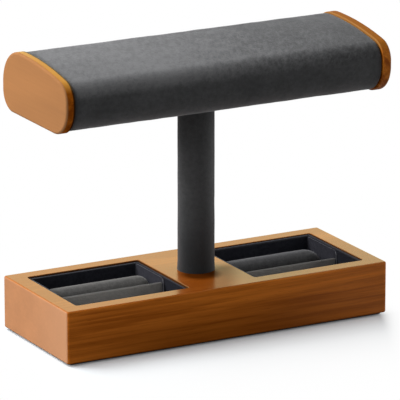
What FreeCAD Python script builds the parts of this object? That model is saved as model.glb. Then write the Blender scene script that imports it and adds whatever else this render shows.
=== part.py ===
import FreeCAD, Part
import math
import os

# Watch stand: a wooden base with two lift-out trays, a covered column and a padded bar
# with wooden end caps. Millimetres, +X along the bar, -Y to the front, +Z up,
# the origin on the floor below the column.

Vector = FreeCAD.Vector

# Wooden base
base_length = 202.0
base_depth = 79.0
base_height = 30.0
base_corner_radius = 1.6
base_arris_radius = 1.1
felt_thickness = 1.0
felt_inset = 2.0

# Pockets in the base, one on each side of the column
rim_width = 9.2
end_rim_width = 10.2
centre_width = 41.5
pocket_floor = 6.0
pocket_arris_radius = 0.5

# Lift-out trays
tray_clearance = 0.5
tray_corner_radius = 1.0
tray_drop = 1.0
tray_wall = 0.8
tray_floor = 1.5
lining_thickness = 0.4

# Ring holder in the back of each tray
ring_bay_depth = 31.5
divider_thickness = 1.6
divider_drop = 3.4
cheek_thickness = 1.1
cheek_drop = 0.3
cheek_corner_radius = 3.0
wrapped_edge_radius = 0.5
wrapped_edge_share = 0.45
roll_diameter = 18.4
roll_end_radius = 6.5
roll_end_clearance = 0.4
roll_cover_thickness = 0.6

# Column
column_diameter = 20.7
column_length = 98.3
sleeve_thickness = 0.8
base_socket_depth = 10.0
bar_socket_depth = 8.0
glue_gap = 0.05

# Tie bolt from under the base into the bar
bolt_diameter = 6.0
bolt_clearance = 0.3
thread_gap = 0.05
bolt_head_width = 10.0
bolt_head_height = 4.0
counterbore_diameter = 16.0
counterbore_depth = 8.0
washer_diameter = 14.0
washer_thickness = 1.2
insert_diameter = 9.0
insert_length = 12.0
bolt_end_room = 2.0

# Section of the bar: flat below, short upright sides, a crown that falls towards the front
# and four round corners
bar_length = 203.0
bar_depth = 78.2
crown_radius = 215.0
front_lower_radius = 16.4
front_side_height = 3.0
front_upper_radius = 11.5
back_lower_radius = 11.4
back_side_height = 4.0
back_upper_radius = 20.2

# Layers and ends of the bar
cap_thickness = 5.4
cap_proud = 0.8
cap_arris_radius = 1.3
cap_seam_radius = 0.4
cover_thickness = 0.8
cover_tuck_radius = 0.6
padding_thickness = 3.0
dowel_diameter = 6.0
dowel_cap_depth = 3.2
dowel_core_depth = 10.0
dowel_spacing = 36.0

# Cuts pass a face by the overrun, and edges are found to within the tolerance
overrun = 1.0
tolerance = 0.001

# Levels
base_top = felt_thickness + base_height
bar_bottom = base_top + column_length - cap_proud
cover_inset = cap_proud
padding_inset = cover_inset + cover_thickness
core_inset = padding_inset + padding_thickness
core_bottom = bar_bottom + core_inset
bar_socket_top = core_bottom + bar_socket_depth
insert_top = bar_socket_top + insert_length
washer_bottom = felt_thickness + counterbore_depth - washer_thickness
seam_place = bar_length / 2 - cap_thickness

# Plan of the pockets and trays
pocket_length = (base_length - centre_width) / 2 - end_rim_width
pocket_width = base_depth - 2 * rim_width
pocket_place = (centre_width + pocket_length) / 2
pocket_bottom = felt_thickness + pocket_floor
pocket_corner_radius = tray_corner_radius + tray_clearance
tray_length = pocket_length - 2 * tray_clearance
tray_width = pocket_width - 2 * tray_clearance
tray_rim = base_top - tray_drop
board_length = tray_length - 2 * tray_wall
board_width = tray_width - 2 * tray_wall
lined_length = board_length - 2 * lining_thickness
lined_width = board_width - 2 * lining_thickness
lined_floor = pocket_bottom + tray_floor + lining_thickness
bay_back = lined_width / 2
divider_back = bay_back - ring_bay_depth
divider_front = divider_back - divider_thickness
roll_length = lined_length - 2 * (cheek_thickness + roll_end_clearance)

# Radii of the column's layers
column_radius = column_diameter / 2
core_radius = column_radius - sleeve_thickness - glue_gap
bolt_hole_radius = bolt_diameter / 2 + bolt_clearance

quarter = math.pi / 2


def upright_edges(shape):
    """Edges that run along Z."""
    return [edge for edge in shape.Edges if edge.BoundBox.XLength + edge.BoundBox.YLength < tolerance]


def edges_at_height(shape, height):
    """Edges that lie on one level."""
    return [edge for edge in shape.Edges
            if edge.BoundBox.ZLength < tolerance and abs(edge.BoundBox.ZMin - height) < tolerance]


def edges_at_length(shape, place):
    """Edges that lie on one plane across the bar."""
    return [edge for edge in shape.Edges
            if edge.BoundBox.XLength < tolerance and abs(edge.BoundBox.XMin - place) < tolerance]


def box(length, width, bottom, top, x=0, y=0):
    """A square-cornered box, centred in plan on (x, y)."""
    return Part.makeBox(length, width, top - bottom, Vector(x - length / 2, y - width / 2, bottom))


def rounded_box(length, width, bottom, top, radius, x=0):
    """A box with rounded upright corners, centred in plan on the X axis."""
    plain = box(length, width, bottom, top, x)
    return plain.makeFillet(radius, upright_edges(plain))


def upright_rod(radius, bottom, top):
    """A round rod on the column's axis."""
    return Part.makeCylinder(radius, top - bottom, Vector(0, 0, bottom))


def make_base_block():
    """Solid wood with rounded edges, two pockets, a socket for the column and a bolt hole."""
    block = rounded_box(base_length, base_depth, felt_thickness, base_top, base_corner_radius)
    outer = edges_at_height(block, base_top) + edges_at_height(block, felt_thickness)
    block = block.makeFillet(base_arris_radius, outer)
    for side in (-1, 1):
        pocket = rounded_box(pocket_length, pocket_width, pocket_bottom, base_top + overrun,
                             pocket_corner_radius, side * pocket_place)
        block = block.cut(pocket)
    reach = pocket_width / 2 + tolerance
    mouths = [edge for edge in edges_at_height(block, base_top)
              if max(edge.BoundBox.YMax, -edge.BoundBox.YMin) < reach]
    block = block.makeFillet(pocket_arris_radius, mouths)
    socket_bottom = base_top - base_socket_depth
    block = block.cut(upright_rod(core_radius + glue_gap, socket_bottom, base_top + overrun))
    block = block.cut(upright_rod(bolt_hole_radius, felt_thickness, socket_bottom + overrun))
    counterbore_top = felt_thickness + counterbore_depth
    return block.cut(upright_rod(counterbore_diameter / 2, felt_thickness - overrun, counterbore_top))


def make_base_felt():
    """One sheet of felt, set in from the edge of the block."""
    length = base_length - 2 * felt_inset
    depth = base_depth - 2 * felt_inset
    return rounded_box(length, depth, 0, felt_thickness, base_corner_radius)


def make_column_core():
    """Round wooden column, bored for the bolt, that stands in both sockets."""
    bottom = base_top - base_socket_depth
    core = upright_rod(core_radius, bottom, bar_socket_top)
    return core.cut(upright_rod(bolt_hole_radius, bottom - overrun, bar_socket_top + overrun))


def make_column_sleeve():
    """Cloth tube from the base up to the core of the bar."""
    inner_radius = column_radius - sleeve_thickness
    sleeve = upright_rod(column_radius, base_top, core_bottom)
    return sleeve.cut(upright_rod(inner_radius, base_top - overrun, core_bottom + overrun))


def make_tie_bolt():
    """Hexagon-head bolt, head down in the counterbore."""
    corner_radius = bolt_head_width / math.sqrt(3)
    head_bottom = washer_bottom - bolt_head_height
    foot = Vector(0, 0, head_bottom)
    angles = [step * 2 * quarter / 3 for step in range(7)]
    corners = [foot + Vector(math.cos(angle), math.sin(angle), 0) * corner_radius for angle in angles]
    head = Part.Face(Part.makePolygon(corners)).extrude(Vector(0, 0, bolt_head_height))
    shank = upright_rod(bolt_diameter / 2, washer_bottom, insert_top)
    return head.fuse(shank).removeSplitter()


def make_bolt_washer():
    """Flat washer between the bolt's head and the wood."""
    top = washer_bottom + washer_thickness
    washer = upright_rod(washer_diameter / 2, washer_bottom, top)
    return washer.cut(upright_rod(bolt_hole_radius, washer_bottom - overrun, top + overrun))


def make_bar_insert():
    """Threaded insert in the core of the bar, which the bolt screws into."""
    insert = upright_rod(insert_diameter / 2, bar_socket_top, insert_top)
    bore = bolt_diameter / 2 + thread_gap
    return insert.cut(upright_rod(bore, bar_socket_top - overrun, insert_top + overrun))


def polar(centre, radius, angle):
    """A point of a circle across the bar."""
    return centre + Vector(0, math.cos(angle), math.sin(angle)) * radius


def arc(centre, radius, start, end):
    """An arc across the bar, between two angles."""
    points = [polar(centre, radius, angle) for angle in (start, (start + end) / 2, end)]
    return Part.Arc(*points).toShape()


def straight(first, second):
    """The straight line from the end of one arc to the start of another."""
    return Part.LineSegment(first.Vertexes[-1].Point, second.Vertexes[0].Point).toShape()


def crown_centre(front, back):
    """Centre of the crown's arc, which runs smoothly into the two upper corners."""
    to_front = crown_radius - front_upper_radius
    to_back = crown_radius - back_upper_radius
    span = back - front
    along = (to_front ** 2 - to_back ** 2 + span.Length ** 2) / (2 * span.Length)
    below = math.sqrt(to_front ** 2 - along ** 2)
    span.normalize()
    down = Vector(0, span.z, -span.y)
    return front + span * along + down * below


def bar_outline(inset):
    """Section of the bar, drawn in evenly all round. Its flat underside is centred on the column."""
    underside = bar_depth - front_lower_radius - back_lower_radius
    front_lower = Vector(0, -underside / 2, bar_bottom + front_lower_radius)
    front_upper = front_lower + Vector(0, front_upper_radius - front_lower_radius, front_side_height)
    back_lower = Vector(0, underside / 2, bar_bottom + back_lower_radius)
    back_upper = back_lower + Vector(0, back_lower_radius - back_upper_radius, back_side_height)
    crown = crown_centre(front_upper, back_upper)
    front_angle = math.atan2(front_upper.z - crown.z, front_upper.y - crown.y)
    back_angle = math.atan2(back_upper.z - crown.z, back_upper.y - crown.y)
    low_back = arc(back_lower, back_lower_radius - inset, -quarter, 0)
    high_back = arc(back_upper, back_upper_radius - inset, 0, back_angle)
    top = arc(crown, crown_radius - inset, back_angle, front_angle)
    high_front = arc(front_upper, front_upper_radius - inset, front_angle, 2 * quarter)
    low_front = arc(front_lower, front_lower_radius - inset, 2 * quarter, 3 * quarter)
    back_side = straight(low_back, high_back)
    front_side = straight(high_front, low_front)
    flat = straight(low_front, low_back)
    return Part.Wire([low_back, back_side, high_back, top, high_front, front_side, low_front, flat])


def bar_prism(inset, start, end):
    """The bar's section run along X."""
    face = Part.Face(bar_outline(inset))
    face.translate(Vector(start, 0, 0))
    return face.extrude(Vector(end - start, 0, 0))


def bar_layer(outer_inset, inner_inset):
    """A wrap of even thickness round the bar, open at the ends and round the column."""
    wrap = bar_prism(outer_inset, -seam_place, seam_place)
    wrap = wrap.cut(bar_prism(inner_inset, -seam_place - overrun, seam_place + overrun))
    return wrap.cut(upright_rod(column_radius + glue_gap, bar_bottom - overrun, core_bottom + overrun))


def make_bar_cover():
    """Suede cloth, turned in a little where it meets the caps."""
    whole = bar_prism(cover_inset, -seam_place, seam_place)
    turned = edges_at_length(whole, -seam_place) + edges_at_length(whole, seam_place)
    whole = whole.makeFillet(cover_tuck_radius, turned)
    return bar_layer(cover_inset, padding_inset).common(whole)


def cap_dowel_rods(side, core_reach, cap_reach, radius):
    """The two dowel places at one end of the bar, reaching into core and cap."""
    height = bar_bottom + back_lower_radius
    start = Vector(side * (seam_place - core_reach), -dowel_spacing / 2, height)
    rods = []
    for row in range(2):
        foot = start + Vector(0, row * dowel_spacing, 0)
        rods.append(Part.makeCylinder(radius, core_reach + cap_reach, foot, Vector(side, 0, 0)))
    return rods


def make_cap_dowels():
    """Four loose dowels, two in each cap."""
    rods = []
    for side in (-1, 1):
        rods += cap_dowel_rods(side, dowel_core_depth, dowel_cap_depth, dowel_diameter / 2)
    return Part.makeCompound(rods)


def dowel_holes(side):
    """Holes for the dowels of one end, a glue gap larger all round."""
    return cap_dowel_rods(side, dowel_core_depth + glue_gap, dowel_cap_depth + glue_gap,
                          dowel_diameter / 2 + glue_gap)


def make_bar_core():
    """Wooden core with a socket for the column, the insert's hole and the dowel holes."""
    core = bar_prism(core_inset, -seam_place, seam_place)
    core = core.cut(upright_rod(core_radius + glue_gap, core_bottom - overrun, bar_socket_top))
    hole = insert_diameter / 2 + glue_gap
    core = core.cut(upright_rod(hole, core_bottom, insert_top + bolt_end_room))
    return core.cut(dowel_holes(-1) + dowel_holes(1))


def make_end_cap(side):
    """Wooden cap, rounded on the outside and blind-bored for its dowels."""
    seam = side * seam_place
    end = side * bar_length / 2
    cap = bar_prism(0, seam, end)
    cap = cap.makeFillet(cap_arris_radius, edges_at_length(cap, end))
    cap = cap.makeFillet(cap_seam_radius, edges_at_length(cap, seam))
    return cap.cut(dowel_holes(side))


def make_tray_box(x):
    """Board tray, open above."""
    top = tray_rim - lining_thickness
    shell = rounded_box(tray_length, tray_width, pocket_bottom, top, tray_corner_radius, x)
    return shell.cut(box(board_length, board_width, pocket_bottom + tray_floor, top + overrun, x))


def make_tray_lining(x):
    """Lining on the floor and walls that turns out over the rim."""
    inside = box(board_length, board_width, pocket_bottom + tray_floor, tray_rim, x)
    rim = rounded_box(tray_length, tray_width, tray_rim - lining_thickness, tray_rim, tray_corner_radius, x)
    skin = inside.fuse(rim).removeSplitter()
    return skin.cut(box(lined_length, lined_width, lined_floor, tray_rim + overrun, x))


def wrapped_radius(thickness):
    """Edge rounding of a wrapped board, limited by its thickness."""
    return min(wrapped_edge_radius, wrapped_edge_share * thickness)


def make_ring_cheeks(x):
    """The two wrapped end boards of the ring holder, with a round top corner at the divider."""
    depth = bay_back - divider_front
    middle = (bay_back + divider_front) / 2
    reach = (lined_length - cheek_thickness) / 2
    top = tray_rim - cheek_drop
    cheeks = []
    for side in (-1, 1):
        cheek = box(cheek_thickness, depth, lined_floor, top, x + side * reach, middle)
        corner = [edge for edge in edges_at_height(cheek, top) if edge.BoundBox.YMax < divider_back]
        cheek = cheek.makeFillet(cheek_corner_radius, corner)
        long_edges = [edge for edge in edges_at_height(cheek, top) if edge.BoundBox.XLength < tolerance]
        cheeks.append(cheek.makeFillet(wrapped_radius(cheek_thickness), long_edges))
    return Part.makeCompound(cheeks)


def make_ring_divider(x):
    """Low wrapped board between the cheeks, in front of the roll."""
    length = lined_length - 2 * cheek_thickness
    middle = (divider_back + divider_front) / 2
    top = tray_rim - divider_drop
    board = box(length, divider_thickness, lined_floor, top, x, middle)
    long_edges = [edge for edge in edges_at_height(board, top) if edge.BoundBox.YLength < tolerance]
    return board.makeFillet(wrapped_radius(divider_thickness), long_edges)


def roll_form(inset, x):
    """A roll with rounded ends on the tray's floor, drawn in by the same distance all round."""
    radius = roll_diameter / 2
    middle = (bay_back + divider_back) / 2
    start = Vector(x - roll_length / 2 + inset, middle, lined_floor + radius)
    rod = Part.makeCylinder(radius - inset, roll_length - 2 * inset, start, Vector(1, 0, 0))
    ends = edges_at_length(rod, start.x) + edges_at_length(rod, start.x + roll_length - 2 * inset)
    return rod.makeFillet(roll_end_radius - inset, ends)


def make_roll_cover(x):
    """Velvet skin of the ring roll."""
    return roll_form(0, x).cut(roll_form(roll_cover_thickness, x))


def make_roll_foam(x):
    """Foam rod inside the skin."""
    return roll_form(roll_cover_thickness + glue_gap, x)


parts = {
    "base_block": make_base_block(),
    "base_felt": make_base_felt(),
    "column_core": make_column_core(),
    "column_sleeve": make_column_sleeve(),
    "tie_bolt": make_tie_bolt(),
    "bolt_washer": make_bolt_washer(),
    "bar_insert": make_bar_insert(),
    "bar_core": make_bar_core(),
    "bar_padding": bar_layer(padding_inset, core_inset),
    "bar_cover": make_bar_cover(),
    "left_end_cap": make_end_cap(-1),
    "right_end_cap": make_end_cap(1),
    "cap_dowels": make_cap_dowels(),
}

for name, x in (("left", -pocket_place), ("right", pocket_place)):
    parts[name + "_tray_box"] = make_tray_box(x)
    parts[name + "_tray_lining"] = make_tray_lining(x)
    parts[name + "_ring_cheeks"] = make_ring_cheeks(x)
    parts[name + "_ring_divider"] = make_ring_divider(x)
    parts[name + "_roll_cover"] = make_roll_cover(x)
    parts[name + "_roll_foam"] = make_roll_foam(x)

os.makedirs("parts", exist_ok=True)
for name, shape in parts.items():
    shape.exportStep("parts/" + name + ".step")
    print(name, "solids", len(shape.Solids), "valid", shape.isValid(), "volume", round(shape.Volume, 1))
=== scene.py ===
"""Watch stand with a suede bar on a column and two lift-out ring trays in a wooden base."""
import math

import bmesh
import bpy
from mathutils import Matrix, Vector


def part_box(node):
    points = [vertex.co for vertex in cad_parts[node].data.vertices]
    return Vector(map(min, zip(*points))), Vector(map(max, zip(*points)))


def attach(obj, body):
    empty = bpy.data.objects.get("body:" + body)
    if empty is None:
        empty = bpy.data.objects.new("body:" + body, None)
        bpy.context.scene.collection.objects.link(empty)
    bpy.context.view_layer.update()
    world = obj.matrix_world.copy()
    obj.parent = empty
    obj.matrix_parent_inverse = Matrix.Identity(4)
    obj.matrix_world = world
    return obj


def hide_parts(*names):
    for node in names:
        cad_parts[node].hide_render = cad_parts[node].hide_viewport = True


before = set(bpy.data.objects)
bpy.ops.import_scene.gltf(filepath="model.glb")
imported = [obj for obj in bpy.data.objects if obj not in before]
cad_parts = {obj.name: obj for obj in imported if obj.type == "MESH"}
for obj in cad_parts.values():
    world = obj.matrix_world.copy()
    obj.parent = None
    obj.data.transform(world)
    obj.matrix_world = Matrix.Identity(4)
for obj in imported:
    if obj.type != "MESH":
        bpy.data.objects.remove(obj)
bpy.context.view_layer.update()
MM = 0.001
SUEDE_THICKNESS = 0.8 * MM
LINING_THICKNESS = 0.4 * MM
CHEEK_THICKNESS = 1.1 * MM
CHEEK_CORNER = 3 * MM
ROOM_LIGHT = 0.22


# Handling of pieces

def only(piece):
    """Make one piece the selected and active one."""
    bpy.ops.object.select_all(action="DESELECT")
    piece.select_set(True)
    bpy.context.view_layer.objects.active = piece


def edit(piece):
    """Open a piece for editing."""
    only(piece)
    bpy.ops.object.mode_set(mode="EDIT")


def leave():
    """Close the piece that is being edited."""
    bpy.ops.object.mode_set(mode="OBJECT")


def pick(piece, mode, parts, test):
    """Select those parts of the edited piece that pass a test."""
    bpy.ops.mesh.select_mode(type=mode)
    bpy.ops.mesh.select_all(action="DESELECT")
    shape = bmesh.from_edit_mesh(piece.data)
    for part in parts(shape):
        part.select_set(test(part))
    shape.select_flush_mode()
    bmesh.update_edit_mesh(piece.data)


def pick_corners(piece, test):
    """Select the corners whose place passes a test."""
    pick(piece, "VERT", lambda shape: shape.verts, lambda corner: test(corner.co))


def pick_edges(piece, test):
    """Select the edges whose two ends pass a test together."""
    pick(piece, "EDGE", lambda shape: shape.edges, lambda edge: test(*(corner.co for corner in edge.verts)))


def pick_faces(piece, test):
    """Select the faces whose middle and normal pass a test."""
    pick(piece, "FACE", lambda shape: shape.faces, lambda face: test(face.calc_center_median(), face.normal))


def near(a, b, reach=0.01 * MM):
    """Whether two lengths are the same."""
    return abs(a - b) < reach


def settle(piece):
    """Put a piece's place, turn and size into its mesh."""
    only(piece)
    bpy.ops.object.transform_apply(location=True, rotation=True, scale=True)


def finish_with(piece, kind, **settings):
    """Add a modifier with its settings and apply it."""
    only(piece)
    modifier = piece.modifiers.new(kind.lower(), kind)
    for name, value in settings.items():
        setattr(modifier, name, value)
    bpy.ops.object.modifier_apply(modifier=modifier.name)


def smooth(piece, degrees=40):
    """Shade a piece smooth, apart from its sharp edges."""
    only(piece)
    bpy.ops.object.shade_smooth_by_angle(angle=math.radians(degrees))


def weigh(piece, name, share):
    """Note a share for each corner of a piece, worked out from its place."""
    group = piece.vertex_groups.new(name=name)
    for corner in piece.data.vertices:
        group.add([corner.index], share(corner.co), "REPLACE")


def uneven(piece, strength, size, group=""):
    """Give a surface the slight unevenness of hand-laid cloth."""
    clouds = bpy.data.textures.new("cloth unevenness", "CLOUDS")
    clouds.noise_scale = size
    clouds.noise_depth = 1
    finish_with(piece, "DISPLACE", texture=clouds, texture_coords="LOCAL", strength=strength, mid_level=0.5,
                vertex_group=group)


def box_piece(name, low, high):
    """Start a piece from a box between two corners."""
    low, high = Vector(low), Vector(high)
    bpy.ops.object.select_all(action="DESELECT")
    bpy.ops.mesh.primitive_cube_add(size=1, location=(low + high) / 2)
    piece = bpy.context.object
    piece.name = piece.data.name = name
    piece.scale = high - low
    settle(piece)
    return piece


def tube_piece(name, radius, start, end, around, along_x=False, centre=(0, 0, 0), ends="NOTHING"):
    """Start a piece from a round tube along Z, or along X."""
    bpy.ops.object.select_all(action="DESELECT")
    middle = (start + end) / 2
    place = Vector((middle, centre[1], centre[2])) if along_x else Vector((centre[0], centre[1], middle))
    turn = (0, math.pi / 2, 0) if along_x else (0, 0, 0)
    bpy.ops.mesh.primitive_cylinder_add(vertices=around, radius=radius, depth=end - start, location=place,
                                        rotation=turn, end_fill_type=ends)
    piece = bpy.context.object
    piece.name = piece.data.name = name
    settle(piece)
    return piece


def dress(piece, body, slot, material, *nodes):
    """Hang a piece on its body, in place of its solids, with its finish."""
    piece.data.materials.clear()
    piece.data.materials.append(material)
    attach(piece, body)
    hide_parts(*nodes)


# Finishes

class Value:
    """One socket of a finish, with sums that become its Math nodes."""

    def __init__(self, finish, socket):
        self.finish = finish
        self.socket = socket

    def __add__(self, other):
        return self.finish.maths("ADD", self, other)

    def __radd__(self, other):
        return self.finish.maths("ADD", other, self)

    def __sub__(self, other):
        return self.finish.maths("SUBTRACT", self, other)

    def __rsub__(self, other):
        return self.finish.maths("SUBTRACT", other, self)

    def __mul__(self, other):
        return self.finish.maths("MULTIPLY", self, other)

    def __truediv__(self, other):
        return self.finish.maths("DIVIDE", self, other)

    def __pow__(self, other):
        return self.finish.maths("POWER", self, other)

    def __abs__(self):
        return self.finish.maths("ABSOLUTE", self)


class Finish:
    """A material that is built node by node."""

    def __init__(self, name, makers=bpy.data.materials):
        self.material = makers.new(name)
        self.material.use_nodes = True
        self.tree = self.material.node_tree
        self.tree.nodes.clear()

    def node(self, kind, settings, sockets, output=0):
        """Add one node: its settings first, then the values or links of its sockets."""
        node = self.tree.nodes.new(kind)
        for name, value in settings.items():
            setattr(node, name, value)
        for key, value in sockets.items():
            if isinstance(value, Value):
                self.tree.links.new(value.socket, node.inputs[key])
            else:
                node.inputs[key].default_value = value
        return Value(self, node.outputs[output]) if len(node.outputs) else None

    def maths(self, operation, first, second=0.0):
        """One step of a sum."""
        return self.node("ShaderNodeMath", {"operation": operation}, {0: first, 1: second})

    def distance(self, first, second):
        """How far off a point is, from its steps along two axes."""
        return (first * first + second * second) ** 0.5

    def place(self, scale=(1, 1, 1), move=(0, 0, 0), turn=0.0):
        """The piece's own coordinates, turned about Z, then stretched and moved."""
        own = self.node("ShaderNodeTexCoord", {}, {}, "Object")
        own = self.node("ShaderNodeMapping", {}, {"Vector": own, "Rotation": (0, 0, turn)})
        return self.node("ShaderNodeMapping", {}, {"Vector": own, "Scale": scale, "Location": move})

    def axes(self):
        """The three parts of the piece's own coordinates."""
        own = self.place()
        return [self.node("ShaderNodeSeparateXYZ", {}, {0: own}, axis) for axis in ("X", "Y", "Z")]

    def noise(self, vector, scale, detail=2.0, rough=0.5, twist=0.0):
        """Cloudy variation from 0 to 1."""
        return self.node("ShaderNodeTexNoise", {}, {"Vector": vector, "Scale": scale, "Detail": detail,
                                                    "Roughness": rough, "Distortion": twist})

    def ease(self, value, low, high, start=0.0, end=1.0):
        """A value's soft step from one level to another."""
        return self.node("ShaderNodeMapRange", {"interpolation_type": "SMOOTHSTEP"},
                         {"Value": value, "From Min": low, "From Max": high, "To Min": start, "To Max": end})

    def blend(self, share, first, second):
        """A colour between two colours."""
        return self.node("ShaderNodeMix", {"data_type": "RGBA"}, {0: share, 6: first, 7: second}, 2)

    def shown(self):
        """1 where the surface is seen straight, in a reflection or through glass."""
        straight, mirrored, through = (self.node("ShaderNodeLightPath", {}, {}, ray) for ray in (
            "Is Camera Ray", "Is Glossy Ray", "Is Transmission Ray"))
        return self.maths("MAXIMUM", self.maths("MAXIMUM", straight, mirrored), through)

    def bump(self, height, depth, strength=1.0):
        """A normal that follows a height."""
        return self.node("ShaderNodeBump", {}, {"Height": height, "Distance": depth, "Strength": strength})

    def surface(self, gloss=None, **sockets):
        """Close the finish with its surface shader.

        A gloss is the share, the tint and the roughness of a glossy layer over it.
        """
        names = {key.replace("_", " ").title().replace("Ior", "IOR"): value for key, value in sockets.items()}
        shader = self.node("ShaderNodeBsdfPrincipled", {}, names)
        if gloss:
            share, tint, roughness = gloss
            layer = self.node("ShaderNodeBsdfGlossy", {}, {"Color": tint, "Roughness": roughness})
            shader = self.node("ShaderNodeMixShader", {}, {0: share, 1: shader, 2: layer})
        self.node("ShaderNodeOutputMaterial", {}, {"Surface": shader})
        return self.material


def colour(red, green, blue):
    """A surface colour."""
    return (red, green, blue, 1.0)


def base_marks(wood, place, body, ends, tops):
    """The base's tones: painted shade low on the sides, a painted contact shadow at the column's foot,
    a painted shadow of the column beside it, and end grain painted lighter towards the front.
    The sides in the pockets are dark.

    The lacquer is thicker on the front towards the right, and the polish is thinner beside the column
    and at its foot, which dims the reflection over the painted shadows there.
    """
    x, y, z = place
    half_length, half_depth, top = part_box("base_block")[1]
    low_shade_tone, end_front_light_tone = colour(0.15, 0.033, 0.001), colour(0.6, 0.31, 0.168)
    column_shadow_tone, foot_shadow_tone = colour(0.12, 0.04, 0.004), colour(0.045, 0.01, 0.0005)
    pocket_tone = colour(0.035, 0.015, 0.005)

    # Painted shade: the sides darken towards the bottom, most along the middle.
    low = wood.ease(z, top - 2 * MM, 3 * MM) * (wood.ease(abs(x), 95 * MM, 30 * MM) * 0.35 + 0.25)
    body = wood.blend(low * (1.0 - ends), body, low_shade_tone)
    # Painted light: the end faces lighter towards the front.
    body = wood.blend(ends * wood.ease(y, 20 * MM, -38 * MM) * 0.6, body, end_front_light_tone)

    # Painted shadow of the column on the top beside it; the polish is thinner there too.
    slant = x - y * 0.55
    beside_column = wood.ease(slant, 6 * MM, 12 * MM) * wood.ease(slant, 32 * MM, 18 * MM)
    painted_light_mask = beside_column * wood.ease(y, 4 * MM, -8 * MM)
    body = wood.blend(painted_light_mask * tops * 0.35, body, column_shadow_tone)

    # Painted contact shadow round the column's foot, where the polish is also thinner.
    foot_x, foot_y = -3.2 * MM, -10.5 * MM
    foot = wood.ease(wood.distance(x - foot_x, y - foot_y), 14.5 * MM, 6.5 * MM) * tops
    body = wood.blend(foot * 0.9, body, foot_shadow_tone)

    inside = (wood.ease(abs(x), half_length - 3 * MM, half_length - 5 * MM) *
              wood.ease(abs(y), half_depth - 3.5 * MM, half_depth - 5.5 * MM))
    sunk = wood.ease(z, top - 0.05 * MM, top - 0.2 * MM) * inside
    body = wood.blend(sunk * 0.9, body, pocket_tone)

    front = wood.ease(x, -10 * MM, 100 * MM) * (1.0 - tops) * (1.0 - ends) * (1.0 - sunk)
    return body, front * 0.2 + 0.02, tops * (1.0 - painted_light_mask * 0.5) * (1.0 - foot * 0.85)


def left_cap_marks(wood, place, body, ends, tops):
    """The left end cap's inner edge beside the cloth, painted dark for its shade, and its lacquer."""
    inner_edge_shade = wood.ease(abs(place[0]), 97.5 * MM, 96.9 * MM)
    return wood.blend(inner_edge_shade * 0.92, body, colour(0.02, 0.01, 0.004)), 0.02, tops


def right_cap_marks(wood, place, body, ends, tops):
    """The right end cap's inner edge on top, painted lighter as a highlight, and its lacquer."""
    inner_edge_highlight = wood.ease(abs(place[0]), 96.7 * MM, 96.3 * MM) * tops
    return wood.blend(inner_edge_highlight * 0.7, body, colour(0.42, 0.2, 0.06)), 0.12, tops


def honey_wood(name, along, light, dark, top_tone, end_tone, heart, end, top, marks, polish=0.0):
    """Satin honey wood: uneven growth lines round a heart, long fibres, a lacquered top, plain end grain.

    The end and top tones set in within a range outwards along X and one upwards.
    The marks give the body's colour, the coat's weight and where the polish lies.
    """
    wood = Finish(name)
    end_light, end_dark = (colour(*(part * share for part in end_tone)) for share in (1.06, 0.88))
    pore_tone = colour(dark[0] * 0.4, dark[1] * 0.35, dark[2] * 0.35)
    light, dark, top_tone = colour(*light), colour(*dark), colour(*top_tone)
    x, y, z = wood.axes()
    run, side = (x, y) if along == "X" else (y, x)

    def streaks(length, width, detail, seed):
        scale = (1 / length, 1 / width, 1 / width) if along == "X" else (1 / width, 1 / length, 1 / width)
        return wood.noise(wood.place(scale, (seed, seed, seed)), 1.0, detail, 0.6)

    sway = streaks(250 * MM, 70 * MM, 2.0, 0)
    across = side - heart[0] + (sway - 0.5) * (16 * MM)
    up = z - heart[1] + (streaks(90 * MM, 22 * MM, 2.0, 1) - 0.5) * (4 * MM)
    reach = wood.distance(across, up)
    radius = wood.node("ShaderNodeCombineXYZ", {}, {0: reach, 1: run * 0.012, 2: sway * 0.004})
    late = wood.ease(wood.noise(radius, 300.0, 4.0, 0.62), 0.44, 0.7)
    fade = wood.ease(streaks(110 * MM, 14 * MM, 2.0, 2), 0.32, 0.66, 0.25, 1.0)
    fibre = wood.ease(streaks(80 * MM, 2.6 * MM, 3.0, 3), 0.25, 0.75)
    hair = streaks(17 * MM, 0.3 * MM, 2.0, 4)
    cloud = wood.ease(streaks(160 * MM, 30 * MM, 2.0, 5), 0.25, 0.75)
    pores = wood.ease(streaks(9 * MM, 0.24 * MM, 1.0, 6), 0.66, 0.74)

    ends = wood.ease(abs(x), *end)
    tops = wood.ease(z, *top) * (1.0 - ends)
    quiet = 1.0 - ends * 0.7
    lines = (late * fade * 0.55 + (fibre - 0.5) * 0.5 + (hair - 0.5) * 0.15) * quiet
    shade = lines + (cloud - 0.5) * 0.5 + 0.23
    body = wood.blend(wood.ease(shade, -0.15, 0.95), light, dark)
    body = wood.blend(tops * 0.8, body, wood.blend(wood.ease(shade, 0.1, 1.4), top_tone, light))
    body = wood.blend(ends * 0.85, body, wood.blend(wood.ease(shade, -0.2, 0.8), end_light, end_dark))
    body, coat, polished = marks(wood, (x, y, z), body, ends, tops)
    body = wood.blend(pores * 0.35 * quiet, body, pore_tone)
    height = (fibre * 0.3 + hair * 0.3 - pores * 0.8 - late * 0.2) * quiet

    gloss = None
    if polish:
        share = wood.node("ShaderNodeFresnel", {}, {"IOR": 1.5}) * polished * polish
        gloss = (share, colour(1.0, 0.91, 0.5), 0.23)
    return wood.surface(gloss, base_color=body, roughness=0.26 + (fibre * 0.08 + pores * 0.1) * quiet,
                        normal=wood.bump(height, 0.03 * MM, 0.4), specular_ior_level=0.0,
                        coat_weight=coat, coat_roughness=0.2)


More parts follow.
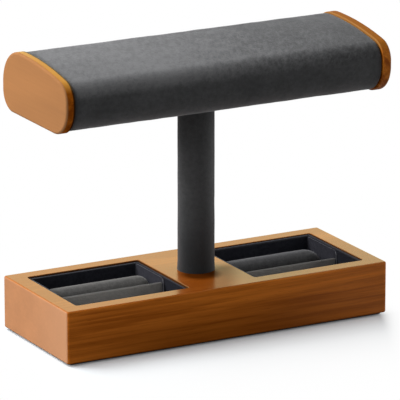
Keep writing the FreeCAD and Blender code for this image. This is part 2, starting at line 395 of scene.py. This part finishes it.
def inner_wood():
    """Plain pale wood of the pieces inside."""
    wood = Finish("inner wood")
    fibre = wood.noise(wood.place((30, 800, 800)), 1.0, 3.0, 0.6)
    cloud = wood.noise(wood.place((8, 40, 40)), 1.0, 2.0)
    shade = (fibre - 0.5) * 0.9 + (cloud - 0.5) * 0.8 + 0.5
    body = wood.blend(wood.ease(shade, 0.0, 1.0), colour(0.55, 0.40, 0.22), colour(0.38, 0.25, 0.12))
    return wood.surface(base_color=body, roughness=0.6 + fibre * 0.1, normal=wood.bump(fibre, 0.05 * MM, 0.5))


def soft_nap(name, dark, light, sheen, tint, grain, rim=None, edges=None, crown=None, side_light_slope=None):
    """Napped cloth: brushed patches, a mottled short pile, a pale sheen.

    The crown may have livelier grain and painted light: lighter on top, darker towards the right and the
    back, the front darker and the underside lighter again; or a slope of painted light may make one side
    lighter.
    A band in height may take a tone of its own, and so may the parts that face the marked ways,
    where it is painted highlight or shade.
    """
    nap = Finish(name)
    brushed = nap.place((1, 0.4, 1), turn=math.radians(28))
    x, y, z = nap.axes()
    lift = 0.5
    if crown:
        crown_start, crown_end, crown_grain = crown
        top = nap.ease(z, crown_start, crown_end)
        below = nap.ease(z, 143 * MM, 131 * MM)
        to_right = nap.ease(x, -60 * MM, 100 * MM)
        # Painted light on the bar: lighter crown, darker to the right and back, darker front, lighter
        # underneath.
        lift = top * (0.37 - to_right * 0.57 - y * 5.0) + below * 0.12 + 0.32
        grain = top * (crown_grain - grain) + grain
    elif side_light_slope:
        lift = x * side_light_slope[0] + y * side_light_slope[1] + 0.5
    patches = nap.noise(brushed, 60.0, 2.0, 0.5, 0.4)
    mottle = nap.ease(nap.noise(brushed, 420.0, 3.0, 0.6), 0.25, 0.75)
    pile = nap.ease(nap.noise(brushed, 1150.0, 3.0, 0.7), 0.25, 0.75)
    fluff = nap.noise(brushed, 3800.0, 1.0)
    lively = ((mottle - 0.5) * 0.5 + (pile - 0.5) * 0.3 + (fluff - 0.5) * 0.1) * grain
    shade = (patches - 0.5) * 0.4 + lively + lift
    body = nap.blend(nap.ease(shade, 0.0, 1.0), colour(*dark), colour(*light))
    if rim:
        rim_start, rim_end, rim_tone = rim
        body = nap.blend(nap.ease(z, rim_start, rim_end), body, colour(*rim_tone))
    if edges:
        # Painted highlight or shade on the parts marked by the way they face.
        painted_light_mask = nap.node("ShaderNodeAttribute", {"attribute_name": "edge"}, {}, "Fac")
        body = nap.blend(nap.ease(painted_light_mask, 0.3, 0.9), body, colour(*edges))
    height = (pile * 0.9 + fluff * 0.3 + mottle * 0.7) * grain
    return nap.surface(base_color=body, roughness=0.9 + (pile - 0.5) * 0.1,
                       normal=nap.bump(height, 0.25 * MM, 0.5), specular_ior_level=0.1,
                       sheen_weight=sheen, sheen_roughness=0.45, sheen_tint=colour(*tint))


def pressed_felt():
    """Dark pressed felt under the base."""
    felt = Finish("pressed felt")
    fibres = felt.noise(felt.place(), 1100.0, 4.0, 0.7, 1.5)
    clumps = felt.noise(felt.place(), 160.0, 2.0)
    shade = fibres * 0.7 + clumps * 0.3
    body = felt.blend(shade, colour(0.008, 0.0075, 0.007), colour(0.03, 0.028, 0.026))
    return felt.surface(base_color=body, roughness=0.95, normal=felt.bump(fibres, 0.3 * MM, 0.7),
                        sheen_weight=0.2, sheen_roughness=0.6)


def grey_board():
    """Pressed grey board of the trays."""
    board = Finish("grey board")
    flecks = board.noise(board.place(), 900.0, 3.0, 0.7)
    mottle = board.noise(board.place(), 90.0, 2.0)
    body = board.blend(flecks * 0.6 + mottle * 0.4, colour(0.035, 0.036, 0.04), colour(0.08, 0.08, 0.085))
    return board.surface(base_color=body, roughness=0.8 + flecks * 0.1,
                         normal=board.bump(flecks, 0.08 * MM, 0.5))


def soft_foam():
    """Open-celled foam."""
    foam = Finish("grey foam")
    cells = foam.node("ShaderNodeTexVoronoi", {}, {"Vector": foam.place(), "Scale": 1400.0}, "Distance")
    drift = foam.noise(foam.place(), 120.0)
    body = foam.blend(cells * 0.8 + drift * 0.3, colour(0.12, 0.12, 0.125), colour(0.26, 0.26, 0.27))
    return foam.surface(base_color=body, roughness=0.9, normal=foam.bump(cells, 0.3 * MM, 0.8))


def turned_metal(name, base, rough):
    """Plated metal with fine turning marks."""
    metal = Finish(name)
    marks = metal.noise(metal.place((300, 300, 6000)), 1.0, 2.0)
    smudge = metal.noise(metal.place(), 180.0, 2.0)
    body = metal.blend(smudge * 0.4, colour(*base), colour(*(part * 0.7 for part in base)))
    return metal.surface(base_color=body, metallic=1.0, roughness=rough + smudge * 0.15 + marks * 0.05,
                         normal=metal.bump(marks, 0.02 * MM, 0.4))


def solid_finishes():
    """The finish of each solid that shows as it is, by its node."""
    cap = {"along": "Y", "end_tone": (0.39, 0.196, 0.085), "heart": (0.0, 60 * MM),
           "end": (100.0 * MM, 100.8 * MM), "top": (153 * MM, 158 * MM)}
    base_wood = honey_wood("base wood", along="X", light=(0.78, 0.226, 0.027), dark=(0.31, 0.07, 0.005),
                           top_tone=(0.275, 0.052, 0.0005), end_tone=(0.5, 0.255, 0.133),
                           heart=(18 * MM, -58 * MM), end=(100.5 * MM, 100.9 * MM),
                           top=(30.5 * MM, 30.95 * MM), marks=base_marks, polish=1.38)
    # Two tones of one wood for the light: left cap's top painted paler, right cap's top darker, its sides
    # lighter.
    left_cap_wood = honey_wood("left cap wood", light=(0.6, 0.16, 0.008), dark=(0.24, 0.05, 0.002),
                               top_tone=(0.6, 0.275, 0.025), marks=left_cap_marks, polish=0.8, **cap)
    right_cap_wood = honey_wood("right cap wood", light=(0.82, 0.27, 0.03), dark=(0.3, 0.07, 0.005),
                                top_tone=(0.26, 0.09, 0.004), marks=right_cap_marks, **cap)
    plain_wood, board = inner_wood(), grey_board()
    steel = turned_metal("plated steel", (0.55, 0.55, 0.56), 0.3)
    brass = turned_metal("brass", (0.62, 0.43, 0.16), 0.28)
    return {"base_block": base_wood, "left_end_cap": left_cap_wood, "right_end_cap": right_cap_wood,
            "column_core": plain_wood, "bar_core": plain_wood, "cap_dowels": plain_wood,
            "left_tray_box": board, "right_tray_box": board,
            "tie_bolt": steel, "bolt_washer": steel, "bar_insert": brass}


def cloth_finishes():
    """The napped cloths, by what they cover."""
    cool = (0.97, 0.98, 1.0)
    return {
        "bar": soft_nap("grey suede", dark=(0.037, 0.0375, 0.0385), light=(0.155, 0.156, 0.16),
                        sheen=0.33, tint=cool, grain=0.25, crown=(148 * MM, 154.5 * MM, 0.65)),
        # A darker copy of the bar's suede, painted lighter to the right and front, with painted shade low
        # down.
        "column": soft_nap("column suede", dark=(0.0425, 0.0435, 0.0445), light=(0.099, 0.1005, 0.103),
                           sheen=0.35, tint=cool, grain=0.35, side_light_slope=(17.0, -9.2),
                           rim=(85 * MM, 28 * MM, (0.0225, 0.025, 0.0275))),
        # Dark lining, painted darker still for the shade inside the tray and on its end walls; its rim keeps
        # a lighter tone.
        "lining": soft_nap("lining velvet", dark=(0.009, 0.0095, 0.0135), light=(0.027, 0.0285, 0.037),
                           sheen=0.15, tint=(0.75, 0.8, 1.0), grain=0.7, edges=(0.0075, 0.0075, 0.01),
                           rim=(29.2 * MM, 29.8 * MM, (0.03, 0.03, 0.033))),
        "left roll": soft_nap("left roll velvet", dark=(0.042, 0.041, 0.0395), light=(0.095, 0.0935, 0.091),
                              sheen=0.42, tint=(1.0, 0.98, 0.95), grain=0.7),
        # A darker copy of the left roll's velvet: painted shade for the bar's shadow on the right roll.
        "right roll": soft_nap("right roll velvet", dark=(0.027, 0.027, 0.0275), light=(0.06, 0.06, 0.061),
                               sheen=0.36, tint=(0.9, 0.9, 0.95), grain=0.7),
        # Painted highlight on the cheeks' front and top edges.
        "cheek": soft_nap("cheek velvet", dark=(0.0075, 0.0075, 0.01), light=(0.02, 0.02, 0.026),
                          sheen=0.25, tint=(0.85, 0.85, 1.0), grain=0.7, edges=(0.3, 0.3, 0.33)),
        # Painted light: much lighter than the rolls for its shaded face, darker on top to damp its highlight,
        # lighter on the left.
        "divider": soft_nap("divider velvet", dark=(0.36, 0.34, 0.315), light=(0.53, 0.505, 0.47),
                            sheen=0.2, tint=(0.95, 0.95, 0.95), grain=0.7, edges=(0.15, 0.146, 0.14),
                            side_light_slope=(-4.0, 0)),
    }


# Pieces

def merged_copy(node, name):
    """A new piece with the shape of a solid, its corners merged."""
    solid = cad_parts[node]
    piece = bpy.data.objects.new(name, solid.data.copy())
    piece.data.name = name
    bpy.context.collection.objects.link(piece)
    piece.matrix_world = solid.matrix_world.copy()
    settle(piece)
    edit(piece)
    bpy.ops.mesh.select_all(action="SELECT")
    bpy.ops.mesh.remove_doubles(threshold=0.001 * MM)
    leave()
    return piece


def cover_guide():
    """The bar cover's outer faces."""
    guide = merged_copy("bar_cover", "cover guide")
    edit(guide)
    low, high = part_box("bar_cover")
    middle = (Vector(low) + Vector(high)) / 2

    def faces_in(place, normal):
        return Vector((0, place.y - middle.y, place.z - middle.z)).dot(normal) <= 0

    pick_faces(guide, faces_in)
    bpy.ops.mesh.delete(type="FACE")
    leave()
    return guide


def press_seam(piece, on_seam, push):
    """Press a narrow butt seam into cloth along a row of edges."""
    edit(piece)
    pick_edges(piece, lambda a, b: on_seam(a) and on_seam(b) and (a - b).length > 0.1 * MM)
    bpy.ops.mesh.bevel(offset=0.3 * MM, segments=2, affect="EDGES")
    pick_corners(piece, on_seam)
    bpy.ops.transform.translate(value=push)
    leave()


def open_hole(piece, radius, below):
    """Open a round hole for the column in the underside of a cloth."""
    edit(piece)
    pick_faces(piece, lambda place, normal: place.z < below and math.hypot(place.x, place.y) < radius)
    bpy.ops.mesh.delete(type="FACE")
    shape = bmesh.from_edit_mesh(piece.data)
    for corner in shape.verts:
        reach = math.hypot(corner.co.x, corner.co.y)
        if corner.is_boundary and corner.co.z < below and reach < 1.5 * radius:
            corner.co.x *= radius / reach
            corner.co.y *= radius / reach
    bmesh.update_edit_mesh(piece.data)
    leave()


def make_bar_cover(material):
    """Suede drawn round the padded bar, tucked in behind the end caps and butted along the underside."""
    low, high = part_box("bar_cover")
    tuck = 2.0 * MM
    held_run = 8 * MM
    seam_place, seam_depth = 15 * MM, 0.45 * MM
    hole_slack = 0.1 * MM
    reach = high[0] - tuck
    middle = ((low[1] + high[1]) / 2, (low[2] + high[2]) / 2)
    half_depth, half_height = high[1] - middle[0], high[2] - middle[1]
    piece = tube_piece("bar_suede", 1.0, -reach, reach, 168, True, (0, *middle))
    edit(piece)
    bpy.ops.mesh.select_all(action="SELECT")
    loose = (1, (high[1] - low[1]) * 0.6, (high[2] - low[2]) * 0.7)
    bpy.ops.transform.resize(value=loose, center_override=(0, *middle))
    pick_edges(piece, lambda a, b: abs(a.x - b.x) > reach)
    bpy.ops.mesh.subdivide(number_cuts=71)
    leave()
    guide = cover_guide()
    finish_with(piece, "SHRINKWRAP", target=guide, wrap_method="NEAREST_SURFACEPOINT")
    bpy.data.objects.remove(guide)
    below = [corner.co.y for corner in piece.data.vertices if corner.co.z < middle[1]]
    seam = min(below, key=lambda place: abs(place - seam_place))
    press_seam(piece, lambda place: near(place.y, seam, 0.1 * MM) and place.z < middle[1], (0, 0, seam_depth))
    open_hole(piece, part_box("column_sleeve")[1][0] + hole_slack, middle[1])
    weigh(piece, "free", lambda place: min(1.0, (reach - abs(place.x)) / held_run))
    weigh(piece, "crown", lambda place: max(0.0, (place.z - middle[1]) / half_height))
    finish_with(piece, "DISPLACE", direction="Z", strength=0.2 * MM, mid_level=0, vertex_group="crown")
    uneven(piece, 0.55 * MM, 16 * MM, "free")
    uneven(piece, 0.12 * MM, 4 * MM, "free")
    edit(piece)
    for side in (-1, 1):
        pick_corners(piece, lambda place: near(place.x, side * reach))
        for run, drop in ((0.8, 0.2), (0.6, 0.5), (0.4, 0.8), (0.2, 1.0), (0.0, 1.2)):
            bpy.ops.mesh.extrude_region_move(TRANSFORM_OT_translate={"value": (side * run * MM, 0, 0)})
            scale = (1, 1 - drop * MM / half_depth, 1 - drop * MM / half_height)
            bpy.ops.transform.resize(value=scale, center_override=(0, *middle))
    leave()
    finish_with(piece, "SOLIDIFY", thickness=SUEDE_THICKNESS, offset=-1, use_even_offset=False)
    smooth(piece, 60)
    dress(piece, "stand", "suede", material, "bar_cover")


def make_bar_foam(material):
    """Foam round the bar's core, cut back at both ends for the suede that tucks in behind it."""
    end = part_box("bar_padding")[1][0]
    cut_back = 2.2 * MM
    piece = merged_copy("bar_padding", "bar_foam")
    edit(piece)
    for side in (-1, 1):
        pick_corners(piece, lambda place: near(place.x, side * end))
        bpy.ops.transform.translate(value=(-side * cut_back, 0, 0))
    leave()
    smooth(piece)
    dress(piece, "stand", "foam", material, "bar_padding")


def make_column_sleeve(material):
    """Suede sleeve on the column, butted behind and spread a little at its foot."""
    low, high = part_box("column_sleeve")
    radius = high[0]
    seam_depth = 0.4 * MM
    foot_spread, foot_height = 0.3 * MM, 5 * MM
    piece = tube_piece("column_suede", radius, low[2], high[2], 96)
    edit(piece)
    pick_edges(piece, lambda a, b: abs(a.z - b.z) > 10 * MM)
    bpy.ops.mesh.subdivide(number_cuts=71)
    leave()
    press_seam(piece, lambda place: near(place.x, 0, 0.05 * MM) and place.y > 0, (0, -seam_depth, 0))
    weigh(piece, "foot", lambda place: max(0.0, 1 - (place.z - low[2]) / foot_height))
    finish_with(piece, "DISPLACE", strength=foot_spread, mid_level=0, vertex_group="foot")
    uneven(piece, 0.25 * MM, 14 * MM)
    finish_with(piece, "SOLIDIFY", thickness=SUEDE_THICKNESS, offset=-1)
    smooth(piece, 60)
    dress(piece, "stand", "suede", material, "column_sleeve")


def make_base_felt(material):
    """Felt sheet under the base."""
    low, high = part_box("base_felt")
    piece = box_piece("felt_sheet", low, high)
    edit(piece)
    pick_edges(piece, lambda a, b: near(a.x, b.x) and near(a.y, b.y))
    bpy.ops.mesh.bevel(offset=2 * MM, segments=6, affect="EDGES")
    pick_edges(piece, lambda a, b: near(a.z, b.z))
    bpy.ops.mesh.bevel(offset=0.2 * MM, segments=2, affect="EDGES")
    leave()
    smooth(piece)
    dress(piece, "stand", "felt", material, "base_felt")


def mark_painted_facing(piece, painted_facing):
    """Note how much each part of a cloth faces the given ways, where its finish paints highlight or shade."""
    painted_light_mask = piece.data.attributes.new("edge", "FLOAT", "POINT")
    for corner in piece.data.vertices:
        painted_light_mask.data[corner.index].value = max(abs(part) * share for part, share in zip(corner.normal, painted_facing))


def lay_lining(side):
    """Cloth on a tray's floor and walls that turns out over the rim."""
    low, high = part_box(side + "_tray_lining")
    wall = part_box(side + "_ring_cheeks")[0][0] - low[0]
    floor = low[2] + LINING_THICKNESS
    left, right, front, back = low[0] + wall, high[0] - wall, low[1] + wall, high[1] - wall
    piece = box_piece(side + "_tray_cloth", (left, front, floor), (right, back, high[2]))
    edit(piece)
    pick_faces(piece, lambda place, normal: normal.z > 0.5)
    bpy.ops.mesh.delete(type="ONLY_FACE")
    pick_edges(piece, lambda a, b: near(a.z, high[2]) and near(b.z, high[2]))
    bpy.ops.mesh.extrude_region_move(TRANSFORM_OT_translate={"value": (0, 0, 0)})
    length, depth = high[0] - low[0], high[1] - low[1]
    spread = (length / (length - 2 * wall), depth / (depth - 2 * wall), 1)
    middle = ((low[0] + high[0]) / 2, (low[1] + high[1]) / 2, high[2])
    bpy.ops.transform.resize(value=spread, center_override=middle)
    pick_corners(piece, lambda place: near(place.x, low[0]) or near(place.x, high[0]))
    bpy.ops.mesh.bevel(offset=1.0 * MM, segments=4, affect="VERTICES")

    def at_wall(place):
        return (near(place.x, left) or near(place.x, right) or near(place.y, front) or near(place.y, back))

    pick_edges(piece, lambda a, b: at_wall(a) and at_wall(b))
    bpy.ops.mesh.bevel(offset=0.5 * MM, segments=4, affect="EDGES")
    bpy.ops.mesh.select_all(action="SELECT")
    bpy.ops.mesh.normals_make_consistent(inside=True)
    leave()
    finish_with(piece, "SOLIDIFY", thickness=LINING_THICKNESS, offset=-1)
    mark_painted_facing(piece, (1, 0, 0))
    smooth(piece)
    return piece


def wrap_board(name, low, high, edge, rows, painted_facing, round_corner=0.0):
    """A board wrapped in cloth, with soft edges marked for painted light by the way they face, and perhaps a
    rounded top corner in front.
    """
    piece = box_piece(name, low, high)
    edit(piece)
    if round_corner:
        pick_edges(piece, lambda *ends: all(near(end.y, low[1]) and near(end.z, high[2]) for end in ends))
        bpy.ops.mesh.bevel(offset=round_corner, segments=6, affect="EDGES")
    bpy.ops.mesh.select_all(action="SELECT")
    bpy.ops.mesh.bevel(offset=edge, segments=4, affect="EDGES")
    long_way = 0 if high[0] - low[0] > high[1] - low[1] else 1
    span = high[long_way] - low[long_way]
    pick_edges(piece, lambda a, b: abs(a[long_way] - b[long_way]) > span / 2)
    bpy.ops.mesh.subdivide(number_cuts=rows)
    leave()
    uneven(piece, 0.14 * MM, 9 * MM)
    mark_painted_facing(piece, painted_facing)
    smooth(piece, 60)
    return piece


def swell(piece, voxel, pressure, most):
    """Swell a pad by air pressure and keep each point within a distance of its start."""
    finish_with(piece, "REMESH", mode="VOXEL", voxel_size=voxel)
    starts = [corner.co.copy() for corner in piece.data.vertices]
    cloth = piece.modifiers.new("cloth", "CLOTH")
    cloth.settings.use_pressure = True
    cloth.settings.uniform_pressure_force = pressure
    cloth.settings.effector_weights.gravity = 0
    scene = bpy.context.scene
    for moment in range(1, 21):
        scene.frame_set(moment)
    only(piece)
    bpy.ops.object.modifier_apply(modifier=cloth.name)
    for corner, start in zip(piece.data.vertices, starts):
        shift = corner.co - start
        if shift.length > most:
            corner.co = start + shift * (most / shift.length)
    scene.frame_set(1)


def make_roll(side, end_rounds, rise, taper):
    """Padded velvet roll with drawn-in ends, its right end perhaps drawn out longer."""
    low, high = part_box(side + "_roll_cover")
    slack = 0.3 * MM
    radius = (high[1] - low[1]) / 2 - slack
    centre = (0, (low[1] + high[1]) / 2, (low[2] + high[2]) / 2)
    start, tip = low[0] + slack, high[0] - slack
    piece = tube_piece(side + "_ring_roll", radius, start, tip, 48, True, centre, "NGON")
    edit(piece)
    for end, end_round in zip((start, tip), end_rounds):
        pick_edges(piece, lambda a, b: near(a.x, end) and near(b.x, end))
        bpy.ops.mesh.bevel(offset=end_round, segments=7, affect="EDGES")
    pick_corners(piece, lambda place: place.x > tip - end_rounds[1] - 0.01 * MM)
    bpy.ops.transform.resize(value=(taper, 1, 1), center_override=(tip, 0, 0))
    bpy.ops.mesh.select_all(action="SELECT")
    bpy.ops.transform.resize(value=(1, 1, 1 + rise / (2 * radius)), center_override=(0, centre[1], low[2]))
    leave()
    swell(piece, 1.5 * MM, 4.0, slack)
    finish_with(piece, "SUBSURF", levels=1, render_levels=1)
    smooth(piece, 60)
    return piece


def make_divider(side, rise):
    """Velvet-wrapped board between the front bay and the ring slots."""
    low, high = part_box(side + "_ring_divider")
    return wrap_board(side + "_divider_board", low, (high[0], high[1], high[2] + rise), edge=0.75 * MM,
                      rows=30, painted_facing=(0, 0, 1))


def make_cheeks(side):
    """The two velvet-wrapped boards at the ends of a tray, with a rounded corner in front."""
    low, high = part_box(side + "_ring_cheeks")
    look = {"edge": 0.4 * MM, "rows": 16, "painted_facing": (0, 1, 0.45), "round_corner": CHEEK_CORNER}
    cheeks = wrap_board(side + "_cheek_boards", low, (low[0] + CHEEK_THICKNESS, high[1], high[2]), **look)
    second = wrap_board("second cheek", (high[0] - CHEEK_THICKNESS, low[1], low[2]), high, **look)
    only(cheeks)
    second.select_set(True)
    bpy.ops.object.join()
    return cheeks


def dress_tray(side, cloths, divider_rise, roll_rise, roll_ends, taper):
    """Make a tray's soft pieces and hang them on it."""
    body = side + "_tray"
    lining = lay_lining(side)
    dress(lining, body, "lining", cloths["lining"], side + "_tray_lining")
    dress(make_cheeks(side), body, "velvet", cloths["cheek"], side + "_ring_cheeks")
    dress(make_divider(side, divider_rise), body, "velvet", cloths["divider"], side + "_ring_divider")
    roll = make_roll(side, roll_ends, roll_rise, taper)
    dress(roll, body, "velvet", cloths[side + " roll"], side + "_roll_cover", side + "_roll_foam")


def give(node, material):
    """Give a solid its finish."""
    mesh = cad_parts[node].data
    mesh.materials.clear()
    mesh.materials.append(material)


# Stage

def make_floor():
    """Pale floor that keeps the shadow and fades to white further off."""
    bpy.ops.object.select_all(action="DESELECT")
    bpy.ops.mesh.primitive_plane_add(size=6, location=(0, 0, -0.2 * MM))
    floor = bpy.context.object
    floor.name = floor.data.name = "studio_floor"
    settle(floor)
    pale = Finish("pale floor")
    shown = pale.shown()
    tone = pale.blend(shown, colour(0.28, 0.28, 0.28), colour(0.89, 0.95, 0.99))
    matt = pale.node("ShaderNodeBsdfDiffuse", {}, {"Color": tone})
    white = pale.node("ShaderNodeEmission", {}, {"Color": colour(1, 1, 1), "Strength": 1.0})
    x, y, z = pale.axes()
    side_line, end_line, shift = 40 * MM, 100.4 * MM, 4 * MM
    fade_length, least = 26 * MM, 0.055
    past_side = pale.maths("MAXIMUM", abs(y) - side_line, 0.0)
    past_end = pale.maths("MAXIMUM", abs(x + past_side * 0.5 + shift) - end_line, 0.0) * 6.0
    reach = pale.distance(past_end, past_side) / fade_length
    away = 1.0 - pale.maths("EXPONENT", (reach ** 1.2 + least) * -1.0)
    mixed = pale.node("ShaderNodeMixShader", {}, {0: away * shown, 1: matt, 2: white})
    pale.node("ShaderNodeOutputMaterial", {}, {"Surface": mixed})
    floor.data.materials.append(pale.material)


def make_world():
    """Even studio light, white wherever it is seen."""
    studio = Finish("studio", bpy.data.worlds)
    level = studio.shown() * (1.0 - ROOM_LIGHT) + ROOM_LIGHT
    sky = studio.node("ShaderNodeBackground", {}, {"Color": colour(1, 1, 1), "Strength": level})
    studio.node("ShaderNodeOutputWorld", {}, {"Surface": sky})
    bpy.context.scene.world = studio.material


def make_lamp(name, place, target, size, power):
    """A square soft lamp that faces a point and leaves no glare of its own in the lacquer."""
    data = bpy.data.lights.new(name, "AREA")
    data.shape = "SQUARE"
    data.size = size
    data.energy = power
    lamp = bpy.data.objects.new(name, data)
    bpy.context.collection.objects.link(lamp)
    lamp.visible_glossy = False
    lamp.location = place
    lamp.rotation_euler = (Vector(target) - Vector(place)).to_track_quat("-Z", "Y").to_euler()


def make_camera():
    """Camera from the front left, a little above, with a long lens."""
    turn, rise = math.radians(28.462), math.radians(16.054)
    distance = 2556.8 * MM
    focal_pixels, picture_pixels, sensor = 4575, 400, 36
    target = Vector((2.51 * MM, 0, 70.6 * MM))
    back = Vector((-math.sin(turn) * math.cos(rise), -math.cos(turn) * math.cos(rise), math.sin(rise)))
    data = bpy.data.cameras.new("camera")
    data.sensor_width = sensor
    data.lens = sensor * focal_pixels / picture_pixels
    data.clip_start = 0.1
    data.clip_end = 20
    camera = bpy.data.objects.new("camera", data)
    bpy.context.collection.objects.link(camera)
    camera.location = target + back * distance
    camera.rotation_euler = (-back).to_track_quat("-Z", "Y").to_euler()
    bpy.context.scene.camera = camera


def main():
    bpy.context.scene.view_settings.view_transform = "Standard"
    for node, material in solid_finishes().items():
        give(node, material)
    cloths = cloth_finishes()
    make_bar_cover(cloths["bar"])
    make_bar_foam(soft_foam())
    make_column_sleeve(cloths["column"])
    make_base_felt(pressed_felt())
    dress_tray("left", cloths, divider_rise=1.0 * MM, roll_rise=0.5 * MM,
               roll_ends=(3.5 * MM, 5.5 * MM), taper=1.0)
    dress_tray("right", cloths, divider_rise=-1.1 * MM, roll_rise=0.4 * MM,
               roll_ends=(3.5 * MM, 8.3 * MM), taper=1.25)
    make_floor()
    make_world()
    middle = (0, 0, 80 * MM)
    make_lamp("key softbox", (-0.65, 0.6, 0.95), middle, 0.7, 15.5)
    make_lamp("left softbox", (-1.1, 0.0, 0.5), middle, 0.55, 6.6)
    make_lamp("right edge light", (1.1, -0.2, 0.25), middle, 0.6, 5.5)
    make_camera()


main()
